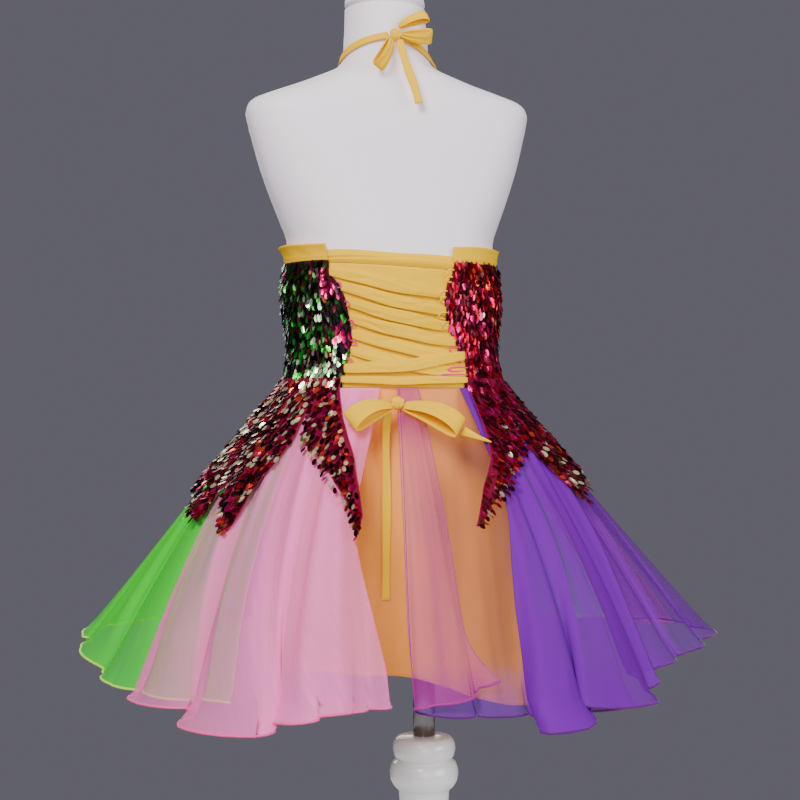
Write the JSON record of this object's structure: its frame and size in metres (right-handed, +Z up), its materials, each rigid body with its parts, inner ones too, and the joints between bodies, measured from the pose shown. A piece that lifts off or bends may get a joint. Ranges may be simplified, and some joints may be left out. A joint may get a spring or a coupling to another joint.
{
  "type": "sequin tutu dress on a limbless dress form with a stand",
  "caption": "Halter dance dress with a laced yellow back, sequined points and a flared organza skirt, worn by a limbless dress form on a turned stand.",
  "frame": {"origin": "centre of the stand base's underside, on the pole's axis", "axes": "+Z up, +Y towards the back of the dress, +X towards the wearer's left"},
  "size_m": [0.6405, 0.5912, 1.034],
  "materials": {
    "form_white": "smooth white fabric-covered shell",
    "pole_steel": "polished steel tube",
    "stand_gloss": "white gloss lacquer on turned wood",
    "sequin_green": "magenta mesh with hanging oval sequins, mostly green and black",
    "sequin_red": "magenta mesh with hanging oval sequins, crimson and maroon",
    "sequin_pink": "magenta mesh with hanging oval sequins, maroon, orange and cream",
    "yellow_satin": "stretch yellow satin",
    "peach_satin": "opaque peach satin",
    "green_organza": "sheer green organza",
    "pink_organza": "sheer pink organza",
    "mauve_organza": "sheer mauve organza",
    "purple_organza": "sheer purple organza"
  },
  "bodies": {
    "root": {"form_torso": "form_white", "form_neck_cap": "form_white", "stand_pole": "pole_steel", "stand_post": "stand_gloss", "stand_base": "stand_gloss", "bodice_side_left": "sequin_green", "bodice_side_right": "sequin_red", "bodice_front": "sequin_red", "point_left_back": "sequin_pink", "point_left_rear": "sequin_pink", "point_left_side": "sequin_pink", "point_right_back": "sequin_pink", "point_right_side": "sequin_pink", "point_front_right": "sequin_pink", "point_front_left": "sequin_pink", "top_band_left": "yellow_satin", "top_band_right": "yellow_satin", "top_band_front": "yellow_satin", "back_panel": "yellow_satin", "back_panel_roll": "yellow_satin", "lace_1": "yellow_satin", "lace_2": "yellow_satin", "lace_3": "yellow_satin", "lace_4": "yellow_satin", "lace_5": "yellow_satin", "lace_6": "yellow_satin", "lace_7": "yellow_satin", "lace_8": "yellow_satin", "waist_knot": "yellow_satin", "waist_loop_left": "yellow_satin", "waist_loop_right": "yellow_satin", "waist_tail_long": "yellow_satin", "waist_tail_short": "yellow_satin", "halter_strap_left": "yellow_satin", "halter_strap_right": "yellow_satin", "neck_knot": "yellow_satin", "neck_loop_upper": "yellow_satin", "neck_loop_lower": "yellow_satin", "neck_loop_left": "yellow_satin", "neck_tail": "yellow_satin", "underskirt_back": "peach_satin", "underskirt_front": "peach_satin", "organza_green_left": "green_organza", "organza_green_front": "green_organza", "organza_pink_left": "pink_organza", "organza_pink_front": "pink_organza", "organza_mauve_back": "mauve_organza", "organza_mauve_front": "mauve_organza", "organza_purple_back": "purple_organza", "organza_purple_right": "purple_organza", "organza_purple_side": "purple_organza", "organza_purple_front": "purple_organza"}
  },
  "joints": []
}
